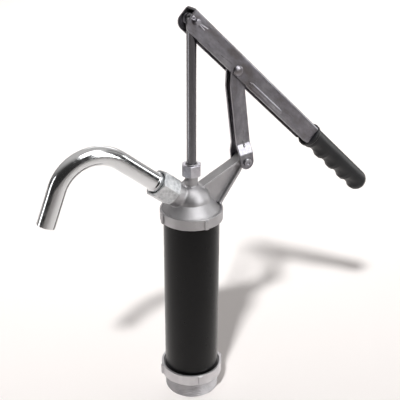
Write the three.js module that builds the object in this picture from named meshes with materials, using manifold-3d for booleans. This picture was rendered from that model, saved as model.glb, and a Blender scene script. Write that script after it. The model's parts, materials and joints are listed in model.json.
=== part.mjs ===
// Lever-operated fluid transfer pump for drums, in millimetres.
// Z is the barrel's axis, and z = 0 is the lower end of the bung thread.
// +X points to the grip and -X to the spout. The plunger rod is drawn fully up.

import * as THREE from 'three';
import { mergeVertices } from 'three/addons/utils/BufferGeometryUtils.js';
import Module from 'manifold-3d';

// ---------------------------------------------------------------- dimensions

const GAP = 0.3;                  // clearance between pieces that touch
const ROUND = 48;                 // sides of the large turned pieces
const MID_ROUND = 32;             // sides of the middle-sized turned pieces
const SMALL_ROUND = 16;           // sides of the small turned pieces
const OVER = 1;                   // how far a cutter runs past the piece it cuts

// barrel and its two collars
const BARREL_R = 30;
const BARREL_WALL = 2;
const BARREL_BOTTOM = 26.3;
const BARREL_TOP = 220.9;
const SOCKET_R = BARREL_R + GAP;
const LUG = { width: 4.4, height: 1.4, inset: 0.5, count: 4 };
const GASKET = { wide: 3.4, narrow: 0.2 };         // edges, inwards from the barrel's outside

// base casting: collar above, 2 inch bung thread below
const THREAD = { crest: 29.8, root: 28.4, leadIn: 0.4, pitch: 2.309, top: 18 };
const BASE = { r: 34.4, bottom: 20, top: 32.4, chamfer: 0.8, socketFloor: 24.6, lugTurn: -10.7 };
const BASE_LIP = { r: 31.7, start: 3, end: 2.4 };  // flared mouth of the socket, heights below the top
const INLET_R = 14;

// foot valve, in a pocket below the barrel
const VALVE_POCKET = { r: 20, floor: 16 };
const SEAT = { inner: 11.5, low: VALVE_POCKET.floor + GAP, high: VALVE_POCKET.floor + 3.3 };
const FOOT_PLATE = { r: 15.6, low: SEAT.high + GAP, high: SEAT.high + GAP + 2 };
const CAGE = { inner: 17, outer: VALVE_POCKET.r - GAP, low: SEAT.high + GAP, high: 29.5, bar: 2.2 };

// head casting: collar, cone, dome, neck
const COLLAR = { r: 33.6, bottom: 214.5, top: 226.5, socketTop: 222.5, shoulderR: 26, chamfer: 1 };
const RIM_GROOVE = { r: 31, halfWidth: 0.7, depth: 0.8 };
const DOME = { r: 20.7, z: 232.8, innerR: 16.6 };
const CONE_TOP_R = 20.5;
const NECK = { r: 6.6, top: 269.6, boreR: 5.4 };

// bracket arm of the head: a web between two edge flanges, with an eye for the link
const ARM = { width: 13, web: 5, flange: 3, eyeR: 6.8 };
const ARM_TOP_START = [6, 248.7];
const ARM_TOP_SLOPE = THREE.MathUtils.degToRad(26.2);
const ARM_FOOT = [33, 226];
const ARM_EDGE_TOP = [57, 260.4];
const ARM_ROOT_X = 2;             // how near the axis the arm starts, inside the dome

// plunger rod and the gland round it
const ROD_R = 5;
const GLAND_NUT = { flats: 19, bottom: 263.2, top: 276.2, lip: 2.4, chamberR: 7.2, holeR: 5.6 };
const PACKING = { low: NECK.top + GAP, high: NECK.top + 2.2, rodR: ROD_R + 0.2 };
const CHAMFER_SHARE = 0.6;        // height of a nut's corner chamfer, as a share of its width

// linkage, all in the plane y = 0
const PIN_A = [0, 424.6];         // rod to lever
const PIN_B = [47.5, 370.9];      // lever to straps
const PIN_C = [61, 270];          // straps to bracket arm
const LEVER_TILT = THREE.MathUtils.degToRad(43.4);
const LEVER = { width: 20, height: 21.1, sheet: 2, top: 9, tail: 7.2, corner: 9, bend: 2.4, length: 202 };
const LEVER_CUT = { back: 9, up: 5 };              // corner cut off where the channel meets the grip
const LEVER_RIB = { start: 92, end: 147, z: -7.4, width: 3.6, height: 0.8 };
const TANG = { r: 8, start: 190, end: 306 };       // rounded rear end of the lever, inside the grip
const GRIP = { start: 202.5, end: 315, r: 12, collarR: 13.4, collarLength: 4, taper: 1.5 };
const FINGERS = { count: 4, r: 15, depth: 2.4, start: 7, endMargin: 11 };
const CLEVIS_PIN = { r: 3, tail: 5, headR: 5.4, headHeight: 2.2, bore: 3.25 };
const SPLIT_PIN = { r: 0.95, low: -5, high: 13.5, eyeR: 2.3, eyeInner: 0.9, eyeX: -6.4, outside: 2.6 };
const PIN_WASHER = { r: 5.6, start: 5.3, end: 7.7 };
const RIVET_HEAD = [[5.4, 0], [5.1, 0.9], [3.8, 1.8], [1.8, 2.3], [0, 2.4]];   // radius and height
const STRAP = { width: 16, sheet: 2.5, topFace: 6.5, bottomFace: 11, endR: 5, taper: 18 };
const JOGGLE = { start: 9.3, end: 20.7, lead: 0.8 };
const ARM_RIVET = { r: 3.2, headR: 4.5, headHeight: 1.8, chamfer: 0.55, dimpleR: 2.2, dimple: 0.6 };
const ARM_WASHER_R = 6.6;
const SHAFT = { r: 3, spacerR: 4.6, bore: 3.2 };

// spout: a straight stub, one bend and a straight outlet, in the plane y = 0
const SPOUT_RISE = THREE.MathUtils.degToRad(39);
const SPOUT_FALL = THREE.MathUtils.degToRad(68.5);
const SPOUT_ROOT_Z = 230;         // where the spout's axis meets the barrel's axis
const SPOUT = { r: 10, wall: 1.25, start: 43.6, bendStart: 102, bendR: 42, outlet: 38.8, flange: 2.4 };
const SPOUT_NUT = { flats: 27.5, start: 29.6, end: 52.3, turn: 42, boreR: 12, lip: 3.3, lipR: 11.2, flare: 1 };
const BOSS = { r: 12, threadR: 11.7, threadStart: 27, end: 41.2, boreR: 8 };
const SEAL = { inner: 8.2, outer: 11.5 };

// piston, drawn at the top of its stroke
const PISTON = { bottom: 166, top: 176, r: 25.2 };
const PORT = { count: 6, r: 3.5, circle: 14, sides: 10 };
const CUP = { r: 27.7, base: 2, lipTop: 174, lip: 1, chamfer: 0.6, heel: 1 };
const BACKING = { r: 24, height: 1.9 };
const ROD_END = { r: 4, z: 152, bore: 4.2 };
const ROD_COLLAR = { r: 9, bottom: 182.4, top: 185, fillet: 1 };
const ROD_DOME_RISE = 1.5;        // centre of the rod's round top, above pin A
const PLATE = { inner: 5.4, r: 20, height: 1.6 };
const PISTON_NUT = { flats: 14, height: 6.5 };

// ----------------------------------------------------------------- materials

const steel = (color, roughness) => new THREE.MeshStandardMaterial({ color, roughness, metalness: 1 });
const soft = (color, roughness) => new THREE.MeshStandardMaterial({ color, roughness, metalness: 0 });

const finish = {
  paint: () => soft(0x17181a, 0.35),
  casting: () => steel(0xa5a3a6, 0.5),
  zinc: () => steel(0x8d8f93, 0.38),
  galvanised: () => steel(0xc4cac8, 0.55),
  chrome: () => steel(0xd6dad9, 0.12),
  rod: () => steel(0x85878c, 0.22),
  brass: () => steel(0xb79a55, 0.35),
  vinyl: () => soft(0x26282b, 0.55),
  rubber: () => soft(0x1b1b1b, 0.8),
  fibre: () => soft(0x7a4a36, 0.85),
};

// ------------------------------------------------------------ solid modelling

const wasm = await Module();
wasm.setup();

/** Signed volume of an indexed triangle list. */
function signedVolume(positions, triangles) {
  const a = new THREE.Vector3();
  const b = new THREE.Vector3();
  const c = new THREE.Vector3();
  let six = 0;
  for (let i = 0; i < triangles.length; i += 3) {
    a.fromArray(positions, 3 * triangles[i]);
    b.fromArray(positions, 3 * triangles[i + 1]);
    c.fromArray(positions, 3 * triangles[i + 2]);
    six += a.dot(b.cross(c));
  }
  return six / 6;
}

/** Closed geometry to a solid: merge the vertices, drop slivers, and turn the faces outwards. */
function solid(geometry) {
  const bare = geometry.clone();
  bare.deleteAttribute('normal');
  bare.deleteAttribute('uv');
  const merged = mergeVertices(bare, 1e-4);
  const index = merged.index.array;
  const kept = [];
  for (let i = 0; i < index.length; i += 3) {
    const [a, b, c] = [index[i], index[i + 1], index[i + 2]];
    if (a !== b && b !== c && c !== a) kept.push(a, b, c);
  }
  const positions = Float32Array.from(merged.attributes.position.array);
  if (signedVolume(positions, kept) < 0) kept.reverse();
  const mesh = new wasm.Mesh({ numProp: 3, vertProperties: positions, triVerts: Uint32Array.from(kept) });
  mesh.merge();
  return new wasm.Manifold(mesh);
}

/** A solid back to a geometry. */
function geometryOf(manifold) {
  const mesh = manifold.getMesh();
  const geometry = new THREE.BufferGeometry();
  geometry.setAttribute('position', new THREE.BufferAttribute(Float32Array.from(mesh.vertProperties), 3));
  geometry.setIndex(Array.from(mesh.triVerts));
  geometry.computeVertexNormals();
  return geometry;
}

const join = (first, ...others) => others.reduce((whole, piece) => whole.add(piece), first);
const cut = (first, ...others) => others.reduce((whole, piece) => whole.subtract(piece), first);

/** Solid turned about Z from a closed profile of [radius, height] points. */
function turned(profile, sides = ROUND) {
  const points = profile.map(([r, z]) => new THREE.Vector2(r, z));
  const first = points[0];
  const last = points[points.length - 1];
  if (first.x > 0 || last.x > 0) points.push(first.clone());
  return solid(new THREE.LatheGeometry(points, sides).rotateX(Math.PI / 2));
}

/** Ring about Z. */
const ring = (inner, outer, low, high, sides = ROUND) =>
  turned([[inner, low], [outer, low], [outer, high], [inner, high]], sides);

/** Rod about Z. */
const disc = (r, low, high, sides = ROUND) => turned([[0, low], [r, low], [r, high], [0, high]], sides);

/** Hexagonal bar about Z, with a corner on +X. */
const hexBar = (flats, low, high) => disc(flats / Math.sqrt(3), low, high, 6).rotate([0, 0, 30]);

/** Hexagonal nut about Z: the bar with its corners turned down to a cone at both ends. */
function hexNut(flats, low, high) {
  const corner = flats / Math.sqrt(3);
  const turn = (corner - flats / 2) * CHAMFER_SHARE;
  const envelope = turned([
    [0, low], [flats / 2, low], [corner, low + turn],
    [corner, high - turn], [flats / 2, high], [0, high],
  ]);
  return hexBar(flats, low, high).intersect(envelope.rotate([0, 0, 90 / ROUND]));
}

/** Prism across the plane y = 0: an outline in x and z, extruded from y = from to y = to. */
function prism(shape, from, to, curveSegments = 10) {
  const geometry = new THREE.ExtrudeGeometry(shape, { depth: to - from, bevelEnabled: false, curveSegments });
  return solid(geometry.rotateX(Math.PI / 2).translate(0, to, 0));
}

/** Box given by its low and high corners. */
function block(low, high) {
  const size = high.map((value, i) => value - low[i]);
  const centre = high.map((value, i) => (value + low[i]) / 2);
  return solid(new THREE.BoxGeometry(...size).translate(...centre));
}

/** Cylinder along Y. */
const crossBar = (r, x, z, from, to, sides = SMALL_ROUND) =>
  disc(r, from, to, sides).rotate([-90, 0, 0]).translate([x, 0, z]);

/** Points of a circular arc, as [x, y] pairs. */
function arc(cx, cy, r, from, to, steps) {
  return Array.from({ length: steps + 1 }, (_, i) => {
    const angle = from + ((to - from) * i) / steps;
    return [cx + r * Math.cos(angle), cy + r * Math.sin(angle)];
  });
}

/** Closed outline through a list of [x, y] points. */
const outline = (points) => new THREE.Shape(points.map(([x, y]) => new THREE.Vector2(x, y)));

/** Puts a solid made about Z onto the spout's first axis, so that its height runs along the spout. */
const onSpoutAxis = (piece) =>
  piece.rotate([0, THREE.MathUtils.radToDeg(SPOUT_RISE) - 90, 0]).translate([0, 0, SPOUT_ROOT_Z]);

/** Spanner lugs round a collar. */
function lugs(r, low, high, turnDegrees) {
  const one = block([r - LUG.height, -LUG.width / 2, low], [r + LUG.height, LUG.width / 2, high]);
  const angles = Array.from({ length: LUG.count }, (_, i) => turnDegrees + (360 * i) / LUG.count);
  return angles.map((angle) => one.rotate([0, 0, angle]));
}

// -------------------------------------------------------------------- barrel

function barrelTube() {
  return ring(BARREL_R - BARREL_WALL, BARREL_R, BARREL_BOTTOM, BARREL_TOP);
}

/** Flat gasket between a barrel end and its socket. */
const gasket = (low, high) =>
  ring(BARREL_R - GASKET.wide, BARREL_R - GASKET.narrow, low, high, MID_ROUND);

// ---------------------------------------------------------------------- base

/** Zigzag profile of the bung thread, from the lower end up. */
function threadProfile() {
  const turns = Math.floor(THREAD.top / THREAD.pitch);
  const points = [[THREAD.root - THREAD.leadIn, 0]];
  for (let i = 0; i < turns; i += 1) {
    points.push([THREAD.root, (i + 0.3) * THREAD.pitch]);
    points.push([THREAD.crest, (i + 0.8) * THREAD.pitch]);
  }
  points.push([THREAD.root, THREAD.top], [THREAD.root, BASE.bottom]);
  return points;
}

function baseCasting() {
  const { r, bottom, top, chamfer, socketFloor } = BASE;
  const body = turned([
    [0, 0], ...threadProfile(), [r - chamfer, bottom], [r, bottom + chamfer],
    [r, top - chamfer], [r - chamfer, top], [0, top],
  ]);
  const socket = turned([
    [0, socketFloor], [SOCKET_R, socketFloor], [SOCKET_R, top - BASE_LIP.start],
    [BASE_LIP.r, top - BASE_LIP.end], [BASE_LIP.r, top + OVER], [0, top + OVER],
  ]);
  const pocket = disc(VALVE_POCKET.r, VALVE_POCKET.floor, socketFloor + OVER);
  const inlet = disc(INLET_R, -OVER, VALVE_POCKET.floor + OVER);
  const collarLugs = lugs(r, bottom + LUG.inset, top - LUG.inset, BASE.lugTurn);
  return cut(join(body, ...collarLugs), socket, pocket, inlet);
}

const footValveSeat = () => ring(SEAT.inner, CAGE.outer, SEAT.low, SEAT.high, MID_ROUND);
const footValvePlate = () => disc(FOOT_PLATE.r, FOOT_PLATE.low, FOOT_PLATE.high, MID_ROUND);

/** Ring with a cross on top that stops the rising plate. */
function footValveCage() {
  const wall = ring(CAGE.inner, CAGE.outer, CAGE.low, CAGE.high, MID_ROUND);
  const reach = CAGE.inner + OVER;
  const half = CAGE.bar / 2;
  const low = CAGE.high - CAGE.bar;
  return join(
    wall,
    block([-reach, -half, low], [reach, half, CAGE.high]),
    block([-half, -reach, low], [half, reach, CAGE.high]),
  );
}

// ---------------------------------------------------------------------- head

/** Outline of the bracket arm in the x-z plane, drawn in from its edge by inset. */
function armOutline(inset) {
  const rise = Math.tan(ARM_TOP_SLOPE);
  const [edgeX, edgeZ] = ARM_EDGE_TOP;
  const [footX, footZ] = ARM_FOOT;
  const edgeAngle = Math.atan2(edgeZ - footZ, edgeX - footX);
  const drop = inset / Math.cos(ARM_TOP_SLOPE);
  const back = inset / Math.sin(edgeAngle);
  const topAt = (x) => ARM_TOP_START[1] + (x - ARM_TOP_START[0]) * rise - drop;
  const tipX = PIN_C[0] - 2;
  return outline([
    [ARM_ROOT_X, topAt(ARM_ROOT_X)], [tipX, topAt(tipX)],
    [edgeX - back, edgeZ], [footX - back, footZ], [CONE_TOP_R, DOME.z], [ARM_ROOT_X, DOME.z],
  ]);
}

function bracketArm() {
  const half = ARM.width / 2;
  const whole = prism(armOutline(0), -half, half);
  const recess = armOutline(ARM.flange);
  const front = prism(recess, -half - OVER, -ARM.web / 2);
  const rear = prism(recess, ARM.web / 2, half + OVER);
  const eye = crossBar(ARM.eyeR, PIN_C[0], PIN_C[1], -half, half);
  return join(cut(whole, front, rear), eye);
}

function headCasting() {
  const neckFoot = DOME.z + Math.sqrt(DOME.r ** 2 - NECK.r ** 2);
  const coneTopAngle = Math.acos(CONE_TOP_R / DOME.r);
  const neckAngle = Math.acos(NECK.r / DOME.r);
  const { r, bottom, top, socketTop, shoulderR, chamfer } = COLLAR;
  const body = turned([
    [0, bottom], [r - chamfer / 2, bottom], [r, bottom + chamfer / 2],
    [r, top - chamfer], [r - chamfer, top], [RIM_GROOVE.r + RIM_GROOVE.halfWidth, top],
    [RIM_GROOVE.r, top - RIM_GROOVE.depth], [RIM_GROOVE.r - RIM_GROOVE.halfWidth, top],
    ...arc(0, DOME.z, DOME.r, coneTopAngle, neckAngle, 7),
    [NECK.r, neckFoot + chamfer / 2], [NECK.r, NECK.top], [0, NECK.top],
  ]);
  const cavity = turned([
    [0, bottom - OVER], [SOCKET_R, bottom - OVER], [SOCKET_R, socketTop], [shoulderR, socketTop],
    ...arc(0, DOME.z, DOME.innerR, 0, Math.acos(NECK.boreR / DOME.innerR), 4),
    [NECK.boreR, NECK.top + OVER], [0, NECK.top + OVER],
  ]);
  const boss = onSpoutAxis(disc(BOSS.r, 0, BOSS.threadStart, MID_ROUND));
  const bossThread = onSpoutAxis(disc(BOSS.threadR, 0, BOSS.end, MID_ROUND));
  const bore = onSpoutAxis(disc(BOSS.boreR, 0, BOSS.end + OVER, MID_ROUND));
  const pivotHole = crossBar(ARM_RIVET.r + GAP, PIN_C[0], PIN_C[1], -ARM.width, ARM.width);
  const collarLugs = lugs(r, bottom + LUG.inset, top - chamfer - LUG.inset, 0);
  return cut(join(body, boss, bossThread, bracketArm(), ...collarLugs), cavity, bore, pivotHole);
}

// --------------------------------------------------------------------- gland

function glandNut() {
  const { flats, bottom, top, lip, chamberR, holeR } = GLAND_NUT;
  const chamber = disc(chamberR, bottom - OVER, top - lip, SMALL_ROUND);
  const hole = disc(holeR, bottom - OVER, top + OVER, SMALL_ROUND);
  return cut(hexNut(flats, bottom, top), chamber, hole);
}

const glandPacking = () =>
  ring(PACKING.rodR, GLAND_NUT.chamberR - GAP, PACKING.low, PACKING.high, SMALL_ROUND);

function glandFollower() {
  const { top, lip, chamberR } = GLAND_NUT;
  return ring(ROD_R + GAP, chamberR - GAP, PACKING.high + GAP, top - lip - GAP, SMALL_ROUND);
}

// --------------------------------------------------------------------- spout

function spoutNut() {
  const { flats, start, end, turn, boreR, lip, lipR, flare } = SPOUT_NUT;
  const bore = disc(boreR, start - OVER, end - lip, MID_ROUND);
  const mouth = turned([
    [0, end - lip - OVER], [lipR, end - lip - OVER], [lipR, end - flare],
    [lipR + 2 * flare, end + flare], [0, end + flare],
  ], MID_ROUND);
  return onSpoutAxis(cut(hexNut(flats, start, end).rotate([0, 0, turn]), bore, mouth));
}

const spoutSeal = () =>
  onSpoutAxis(ring(SEAL.inner, SEAL.outer, BOSS.end + GAP, SPOUT.start - GAP, MID_ROUND));

/** Centre line of the spout: straight, one bend, straight. */
class SpoutCurve extends THREE.Curve {
  constructor() {
    super();
    this.stub = SPOUT.bendStart - SPOUT.start;
    this.bend = SPOUT.bendR * (SPOUT_RISE + SPOUT_FALL);
    this.total = this.stub + this.bend + SPOUT.outlet;
  }

  getPoint(t, target = new THREE.Vector3()) {
    const s = t * this.total;
    const along = SPOUT.start + Math.min(s, this.stub);
    let x = -along * Math.cos(SPOUT_RISE);
    let z = SPOUT_ROOT_Z + along * Math.sin(SPOUT_RISE);
    if (s > this.stub) {
      const heading = SPOUT_RISE - Math.min(s - this.stub, this.bend) / SPOUT.bendR;
      x -= SPOUT.bendR * (Math.sin(SPOUT_RISE) - Math.sin(heading));
      z += SPOUT.bendR * (Math.cos(heading) - Math.cos(SPOUT_RISE));
      const rest = Math.max(0, s - this.stub - this.bend);
      x -= rest * Math.cos(heading);
      z += rest * Math.sin(heading);
    }
    return target.set(x, 0, z);
  }
}

function spoutTube() {
  const { r, wall, start, flange } = SPOUT;
  const section = new THREE.Shape().absarc(0, 0, r, 0, 2 * Math.PI, false);
  section.holes.push(new THREE.Path().absarc(0, 0, r - wall, 0, 2 * Math.PI, true));
  const extrudePath = new SpoutCurve();
  const tube = solid(new THREE.ExtrudeGeometry(section, { steps: 24, curveSegments: 12, extrudePath }));
  return join(tube, onSpoutAxis(ring(r - wall / 2, SEAL.outer, start, start + flange, MID_ROUND)));
}

// -------------------------------------------------------------------- piston

function plungerRod() {
  const tip = PIN_A[1] + ROD_DOME_RISE;
  const rod = turned([
    [0, ROD_END.z], [ROD_END.r, ROD_END.z], [ROD_END.r, PISTON.top + GAP], [ROD_R, PISTON.top + GAP],
    [ROD_R, ROD_COLLAR.bottom], [ROD_COLLAR.r, ROD_COLLAR.bottom], [ROD_COLLAR.r, ROD_COLLAR.top],
    [ROD_R, ROD_COLLAR.top + ROD_COLLAR.fillet], ...arc(0, tip, ROD_R, 0, Math.PI / 2, 5),
  ], MID_ROUND);
  return cut(rod, crossBar(CLEVIS_PIN.bore, PIN_A[0], PIN_A[1], -ROD_R - OVER, ROD_R + OVER));
}

/** Ports round a disc of the piston, as one solid to cut with. */
function ports(low, high) {
  const one = disc(PORT.r, low - OVER, high + OVER, PORT.sides).translate([PORT.circle, 0, 0]);
  const turns = Array.from({ length: PORT.count - 1 }, (_, i) => (360 * (i + 1)) / PORT.count);
  return join(one, ...turns.map((angle) => one.rotate([0, 0, angle])));
}

const CUP_LOW = PISTON.bottom - GAP - CUP.base;
const BACKING_LOW = CUP_LOW - GAP - BACKING.height;

const pistonBody = () =>
  cut(ring(ROD_END.bore, PISTON.r, PISTON.bottom, PISTON.top, MID_ROUND), ports(PISTON.bottom, PISTON.top));

function pistonCup() {
  const { r, base, lipTop, lip, chamfer, heel } = CUP;
  const cup = turned([
    [ROD_END.bore, CUP_LOW], [r - chamfer, CUP_LOW], [r, CUP_LOW + chamfer], [r, lipTop],
    [r - lip, lipTop], [PISTON.r + GAP, PISTON.bottom + heel], [PISTON.r + GAP, CUP_LOW + base],
    [ROD_END.bore, CUP_LOW + base],
  ], MID_ROUND);
  return cut(cup, ports(CUP_LOW, CUP_LOW + CUP.base));
}

const cupBacking = () =>
  cut(ring(ROD_END.bore, BACKING.r, BACKING_LOW, BACKING_LOW + BACKING.height, MID_ROUND),
    ports(BACKING_LOW, BACKING_LOW + BACKING.height));

function pistonNut() {
  const high = BACKING_LOW - GAP;
  const low = high - PISTON_NUT.height;
  const bore = disc(ROD_END.bore, low - OVER, high + OVER, SMALL_ROUND);
  return cut(hexNut(PISTON_NUT.flats, low, high), bore);
}

const pistonPlate = () =>
  ring(PLATE.inner, PLATE.r, PISTON.top + GAP, PISTON.top + GAP + PLATE.height, MID_ROUND);

// ------------------------------------------- lever (x along it, origin at pin A)

const LEVER_BOTTOM = LEVER.top - LEVER.height;
const TANG_Z = LEVER.top - LEVER.height / 2;
const SPLIT_PIN_Y = -LEVER.width / 2 - SPLIT_PIN.outside;

/** Side view of the lever: its tail is square at the top and rounded at the bottom. */
function leverOutline() {
  const { top, tail, corner, length } = LEVER;
  return outline([
    [-tail, top], ...arc(corner - tail, LEVER_BOTTOM + corner, corner, Math.PI, 1.5 * Math.PI, 7),
    [length - LEVER_CUT.back, LEVER_BOTTOM], [length, LEVER_BOTTOM + LEVER_CUT.up], [length, top],
  ]);
}

/** Section of the lever's outside, open at the bottom: two rounded bends along the top. */
function leverSection() {
  const half = LEVER.width / 2;
  const { bend, top } = LEVER;
  return outline([
    ...arc(half - bend, top - bend, bend, 0, Math.PI / 2, 4),
    ...arc(bend - half, top - bend, bend, Math.PI / 2, Math.PI, 4),
    [-half, LEVER_BOTTOM - OVER], [half, LEVER_BOTTOM - OVER],
  ]);
}

/** Rib pressed outwards in a flange of the lever, on one side. */
function leverRib(side) {
  const { start, end, z, width, height } = LEVER_RIB;
  const r = width / 2;
  const face = outline([
    ...arc(end - r, z, r, -Math.PI / 2, Math.PI / 2, 6),
    ...arc(start + r, z, r, Math.PI / 2, 1.5 * Math.PI, 6),
  ]);
  const inside = side * (LEVER.width / 2 - LEVER.sheet + height / 2);
  const outside = side * (LEVER.width / 2 + height);
  return prism(face, Math.min(inside, outside), Math.max(inside, outside));
}

function leverChannel() {
  const half = LEVER.width / 2;
  const inner = half - LEVER.sheet;
  const rear = -LEVER.tail - OVER;
  const side = prism(leverOutline(), -half, half);
  const bar = solid(
    new THREE.ExtrudeGeometry(leverSection(), { depth: LEVER.length + OVER - rear, bevelEnabled: false })
      .rotateX(Math.PI / 2).rotateZ(Math.PI / 2).translate(rear, 0, 0),
  );
  const trough = block([rear, -inner, LEVER_BOTTOM - OVER], [TANG.start, inner, LEVER.top - LEVER.sheet]);
  const tang = disc(TANG.r, TANG.start, TANG.end, MID_ROUND).rotate([0, 90, 0]).translate([0, 0, TANG_Z]);
  const pinHole = crossBar(CLEVIS_PIN.r + GAP, 0, 0, -half - OVER, half + OVER);
  return cut(join(cut(side.intersect(bar), trough), tang, leverRib(-1), leverRib(1)), pinHole);
}

/** Vinyl grip: collar, smooth back, finger grooves underneath, rounded end and a blind bore. */
function leverGrip() {
  const { start, end, r, collarR, collarLength, taper } = GRIP;
  const body = turned([
    [0, start], [collarR, start], [collarR, start + collarLength], [r, start + collarLength + taper],
    ...arc(0, end - r, r, 0, Math.PI / 2, 7),
  ], MID_ROUND);
  const pitch = (end - start - FINGERS.start - FINGERS.endMargin) / FINGERS.count;
  const under = r + FINGERS.r - FINGERS.depth;
  const first = start + FINGERS.start + pitch / 2;
  const groove = (i) => crossBar(FINGERS.r, under, first + pitch * i, -collarR, collarR, MID_ROUND);
  const bore = disc(TANG.r + GAP, start - OVER, TANG.end + GAP, MID_ROUND);
  const grip = cut(body, bore, ...Array.from({ length: FINGERS.count }, (_, i) => groove(i)));
  return grip.rotate([0, 90, 0]).translate([0, 0, TANG_Z]);
}

/** Clevis pin: its head is at the rear, and a cross hole in its tail takes the split pin. */
function clevisPin() {
  const { r, tail, headR, headHeight } = CLEVIS_PIN;
  const half = LEVER.width / 2;
  const shank = crossBar(r, 0, 0, -half - tail, half + GAP);
  const head = crossBar(headR, 0, 0, half + GAP, half + GAP + headHeight);
  const crossHole = disc(SPLIT_PIN.r + 2 * GAP, -r - OVER, r + OVER, SMALL_ROUND);
  return cut(join(shank, head), crossHole.rotate([0, 90, 0]).translate([0, SPLIT_PIN_Y, 0]));
}

/** Split pin: an eye outside the clevis pin and two legs that lie along the lever. */
function splitPin() {
  const { r, low, high, eyeR, eyeInner, eyeX } = SPLIT_PIN;
  const leg = disc(r, low, high, SMALL_ROUND).rotate([0, 90, 0]).translate([0, SPLIT_PIN_Y, 0]);
  const eye = ring(eyeInner, eyeR, -r, r, SMALL_ROUND).rotate([90, 0, 0]);
  return join(leg, eye.translate([eyeX, SPLIT_PIN_Y, 0]));
}

/** Washer between the rod and a flange of the lever. */
function pinWasher(side) {
  const { r, start, end } = PIN_WASHER;
  return ring(CLEVIS_PIN.bore, r, start, end, SMALL_ROUND).rotate([-90 * side, 0, 0]);
}

/** Domed rivet head over the pivot of the straps, on one side of the lever. */
function rivetHead(side) {
  const seat = LEVER.width / 2 + GAP;
  const profile = RIVET_HEAD.map(([r, height]) => [r, seat + height]);
  return turned([[0, seat], ...profile], SMALL_ROUND).rotate([-90 * side, 0, 0]);
}

// ---------------------------------------- link (z towards pin B, origin at pin C)

const LINK_LENGTH = Math.hypot(PIN_B[0] - PIN_C[0], PIN_B[1] - PIN_C[1]);
const LINK_LEAN = Math.atan2(PIN_B[0] - PIN_C[0], PIN_B[1] - PIN_C[1]);

/** One strap: a flat bar whose lower end is set outwards by a joggle. */
function linkStrap(side) {
  const { width, sheet, topFace, bottomFace, endR, taper } = STRAP;
  const half = width / 2;
  const reach = bottomFace + OVER;
  const face = outline([
    ...arc(0, 0, half, Math.PI, 2 * Math.PI, 14),
    [half, LINK_LENGTH - taper], ...arc(0, LINK_LENGTH, endR, 0, Math.PI, 10), [-half, LINK_LENGTH - taper],
  ]);
  const low = -half - OVER;
  const top = LINK_LENGTH + endR + OVER;
  const edge = outline([
    [bottomFace, low], [bottomFace, JOGGLE.start], [topFace, JOGGLE.end], [topFace, top],
    [topFace - sheet, top], [topFace - sheet, JOGGLE.end - JOGGLE.lead],
    [bottomFace - sheet, JOGGLE.start - JOGGLE.lead], [bottomFace - sheet, low],
  ]);
  const bar = prism(edge, low, -low).rotate([0, 0, 90 * side]);
  const lowerHole = crossBar(ARM_RIVET.r + GAP, 0, 0, -reach, reach);
  const upperHole = crossBar(SHAFT.bore, 0, LINK_LENGTH, -reach, reach);
  return cut(prism(face, -reach, reach).intersect(bar), lowerHole, upperHole);
}

/** Shaft that spaces the straps inside the lever. */
function linkShaft() {
  const inside = STRAP.topFace - STRAP.sheet - GAP;
  const spacer = crossBar(SHAFT.spacerR, 0, LINK_LENGTH, -inside, inside);
  return join(spacer, crossBar(SHAFT.r, 0, LINK_LENGTH, -STRAP.topFace, STRAP.topFace));
}

/** Rivet through the straps and the bracket arm, with a dimple in each head. */
function armRivet() {
  const { r, headR, headHeight, chamfer, dimpleR, dimple } = ARM_RIVET;
  const seat = STRAP.bottomFace + GAP;
  const face = seat + headHeight;
  const half = [
    [r, seat], [headR, seat], [headR, face - chamfer], [headR - chamfer, face],
    [dimpleR, face], [dimpleR - dimple, face - dimple], [0, face - dimple],
  ];
  const mirrored = half.map(([r, z]) => [r, -z]).reverse();
  return turned([...mirrored, ...half], SMALL_ROUND).rotate([90, 0, 0]);
}

function armWasher(side) {
  const low = ARM.width / 2 + GAP;
  const high = STRAP.bottomFace - STRAP.sheet - GAP;
  return ring(ARM_RIVET.r + GAP, ARM_WASHER_R, low, high, SMALL_ROUND).rotate([-90 * side, 0, 0]);
}

// ------------------------------------------------------------------ assembly

const pump = new THREE.Group();
const lever = new THREE.Group();
const link = new THREE.Group();
pump.add(lever, link);
lever.position.set(PIN_A[0], 0, PIN_A[1]);
lever.rotation.y = LEVER_TILT;
link.position.set(PIN_C[0], 0, PIN_C[1]);
link.rotation.y = LINK_LEAN;

/** Adds a named mesh of a solid to a group. */
function add(group, name, piece, material) {
  const mesh = new THREE.Mesh(geometryOf(piece), material);
  mesh.name = name;
  group.add(mesh);
  return mesh;
}

add(pump, 'barrel_tube', barrelTube(), finish.paint());
add(pump, 'base_casting', baseCasting(), finish.casting());
add(pump, 'base_gasket', gasket(BASE.socketFloor + GAP, BARREL_BOTTOM - GAP), finish.fibre());
add(pump, 'foot_valve_seat', footValveSeat(), finish.brass());
add(pump, 'foot_valve_cage', footValveCage(), finish.brass());
add(pump, 'foot_valve_plate', footValvePlate(), finish.rubber());
add(pump, 'head_casting', headCasting(), finish.casting());
add(pump, 'head_gasket', gasket(BARREL_TOP + GAP, COLLAR.socketTop - GAP), finish.fibre());
add(pump, 'gland_nut', glandNut(), finish.zinc());
add(pump, 'gland_packing', glandPacking(), finish.rubber());
add(pump, 'gland_follower', glandFollower(), finish.brass());
add(pump, 'spout_nut', spoutNut(), finish.galvanised());
add(pump, 'spout_seal', spoutSeal(), finish.rubber());
add(pump, 'spout_tube', spoutTube(), finish.chrome());

add(pump, 'plunger_rod', plungerRod(), finish.rod());
add(pump, 'piston_body', pistonBody(), finish.brass());
add(pump, 'piston_cup', pistonCup(), finish.rubber());
add(pump, 'cup_backing', cupBacking(), finish.brass());
add(pump, 'piston_nut', pistonNut(), finish.zinc());
add(pump, 'piston_valve_plate', pistonPlate(), finish.rubber());

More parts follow.
